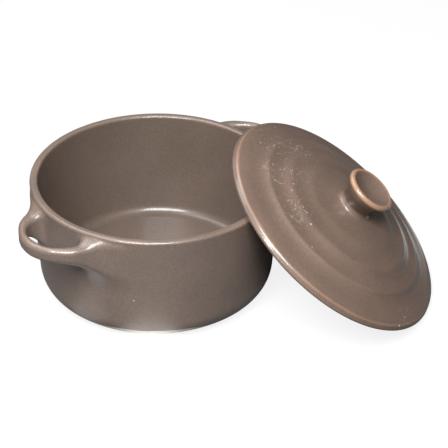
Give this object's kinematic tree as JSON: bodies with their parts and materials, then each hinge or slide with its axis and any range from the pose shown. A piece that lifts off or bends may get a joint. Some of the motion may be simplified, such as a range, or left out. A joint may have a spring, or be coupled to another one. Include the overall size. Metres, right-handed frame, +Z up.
{
  "type": "lidded ramekin",
  "caption": "Small round stoneware ramekin with loop handles, its domed, ringed lid with a dished knob leaning off against the rim.",
  "frame": {"origin": "centre of the pot's foot ring, on the surface it stands on", "axes": "+Z up along the pot's axis; the two loop handles lie along +X and -X; the lid leans on the rim towards +X and -Y"},
  "size_m": [0.1585, 0.1512, 0.0642],
  "materials": {
    "glaze_pot": "satin taupe stoneware glaze, breaking to warm tan on the edges",
    "glaze_lid": "satin taupe stoneware glaze, breaking to warm tan on the rings and edges"
  },
  "bodies": {
    "root": {"pot": "glaze_pot", "lid": "glaze_lid"}
  },
  "joints": []
}
